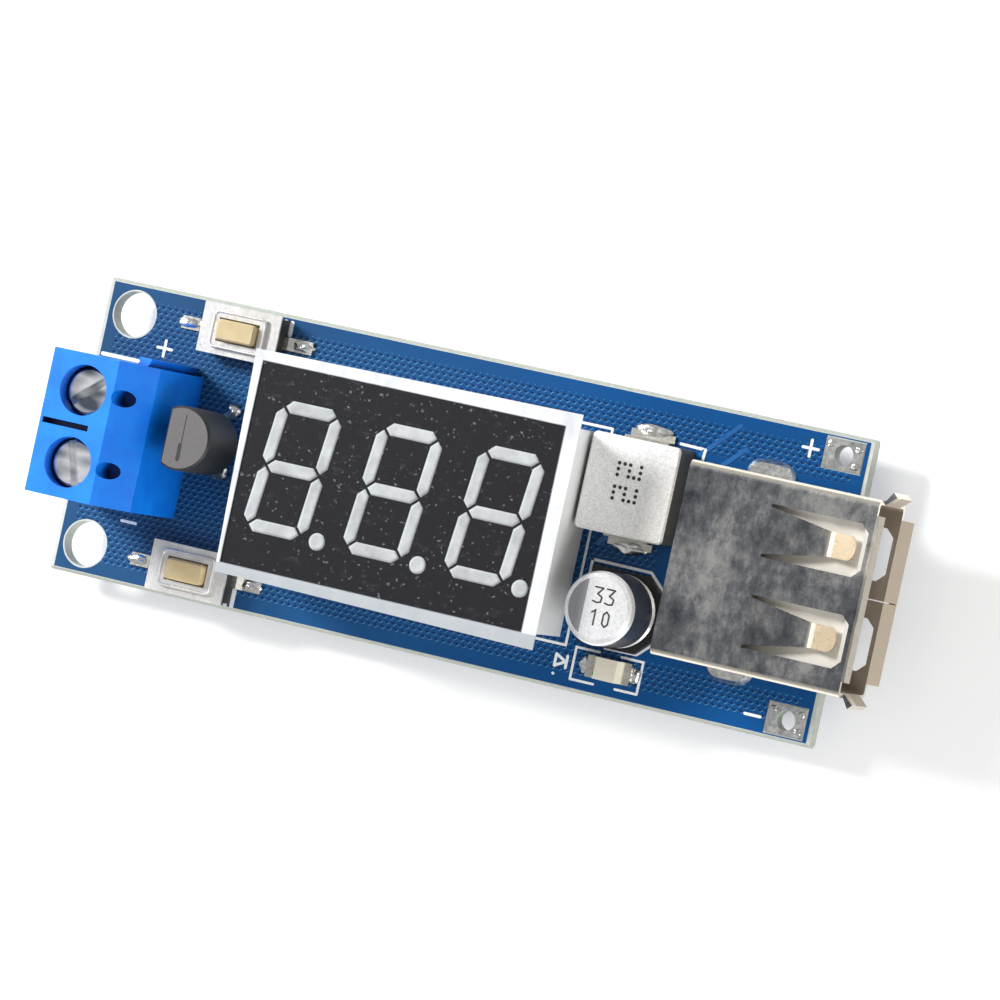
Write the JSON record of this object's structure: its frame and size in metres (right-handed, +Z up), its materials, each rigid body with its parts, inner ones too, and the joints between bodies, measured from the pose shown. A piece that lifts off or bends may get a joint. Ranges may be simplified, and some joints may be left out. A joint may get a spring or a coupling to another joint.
{
  "type": "voltage regulator module",
  "caption": "Small step-down power module with a numeric voltmeter display, push switches, a screw terminal at one end and a socket for a plug at the other.",
  "frame": {"origin": "centre of the footprint, at the tips of the through-hole leads that the module rests on", "axes": "+X along the board towards the socket's mouth, +Y across the board, +Z up from the component side"},
  "size_m": [0.0612, 0.0208, 0.0132],
  "materials": {
    "board": "solder mask over glass laminate",
    "solder": "tinned",
    "terminal_plastic": "satin moulded",
    "screw_steel": "plated",
    "cage_steel": "plated",
    "tinned_copper": "tinned",
    "moulding_compound": "fine matte",
    "switch_base_plastic": "moulded",
    "switch_cover_steel": "satin",
    "plunger_plastic": "moulded",
    "dome_steel": "satin",
    "display_plastic": "moulded",
    "display_black": "printed",
    "segment_resin": "diffusing",
    "potting": "cast",
    "film": "clear film",
    "inductor_powder": "pressed powder",
    "can_aluminium": "satin",
    "capacitor_plastic": "moulded",
    "carrier_laminate": "laminate",
    "lens_resin": "clear resin",
    "shell_nickel": "nickel plated",
    "insulator_plastic": "moulded",
    "contact_brass": "gold flash",
    "ceramic": "fired",
    "resistor_ceramic": "glazed"
  },
  "bodies": {
    "board": {"capacitor_base": "capacitor_plastic", "capacitor_can": "can_aluminium", "capacitor_terminals": "tinned_copper", "ceramic_capacitors": "ceramic", "chip_resistors": "resistor_ceramic", "circuit_board": "board", "controller_chip": "moulding_compound", "controller_chip_leads": "tinned_copper", "converter_chip": "moulding_compound", "converter_chip_leads": "tinned_copper", "display_back_plate": "potting", "display_film": "film", "display_housing": "display_plastic", "display_mask": "display_black", "display_pins": "tinned_copper", "display_segments": "segment_resin", "indicator_carrier": "carrier_laminate", "indicator_lens": "lens_resin", "indicator_terminals": "tinned_copper", "inductor_body": "inductor_powder", "inductor_terminals": "tinned_copper", "leg_solder": "solder", "lower_switch_base": "switch_base_plastic", "lower_switch_cover": "switch_cover_steel", "lower_switch_dome": "dome_steel", "lower_switch_terminals": "tinned_copper", "lower_terminal_contact": "tinned_copper", "output_pad_negative": "solder", "output_pad_positive": "solder", "pin_solder": "solder", "reference_body": "moulding_compound", "reference_leads": "tinned_copper", "socket_contacts": "contact_brass", "socket_insulator": "insulator_plastic", "socket_shell": "shell_nickel", "terminal_housing": "terminal_plastic", "upper_switch_base": "switch_base_plastic", "upper_switch_cover": "switch_cover_steel", "upper_switch_dome": "dome_steel", "upper_switch_terminals": "tinned_copper", "upper_terminal_contact": "tinned_copper"},
    "upper_button": {"upper_switch_plunger": "plunger_plastic"},
    "upper_screw": {"upper_terminal_screw": "screw_steel"},
    "upper_cage": {"upper_clamp_cage": "cage_steel"},
    "lower_button": {"lower_switch_plunger": "plunger_plastic"},
    "lower_screw": {"lower_terminal_screw": "screw_steel"},
    "lower_cage": {"lower_clamp_cage": "cage_steel"}
  },
  "joints": [
    {"name": "upper_button_press", "type": "slide", "parent": "board", "child": "upper_button", "axis": [0, 0, -1], "range_m": [0, 0.00025], "stiffness_N_per_m": 600, "springref_m": -0.0005, "deforming": ["upper_switch_dome"]},
    {"name": "lower_button_press", "type": "slide", "parent": "board", "child": "lower_button", "axis": [0, 0, -1], "range_m": [0, 0.00025], "stiffness_N_per_m": 600, "springref_m": -0.0005, "deforming": ["lower_switch_dome"]},
    {"name": "upper_screw_turn", "type": "hinge", "parent": "board", "child": "upper_screw", "pos_m": [-0.02616, 0.00238, 0.0115], "axis": [0, 0, -1], "range_deg": [0, 1440]},
    {"name": "upper_cage_lift", "type": "slide", "parent": "board", "child": "upper_cage", "axis": [0, 0, 1], "range_m": [0, 0.002]},
    {"name": "lower_screw_turn", "type": "hinge", "parent": "board", "child": "lower_screw", "pos_m": [-0.02616, -0.00262, 0.0115], "axis": [0, 0, -1], "range_deg": [0, 1440]},
    {"name": "lower_cage_lift", "type": "slide", "parent": "board", "child": "lower_cage", "axis": [0, 0, 1], "range_m": [0, 0.002]}
  ],
  "couplings": [
    {"joint": "upper_screw_turn", "follows": "upper_cage_lift", "rad_per_m": 12566},
    {"joint": "lower_screw_turn", "follows": "lower_cage_lift", "rad_per_m": 12566}
  ]
}
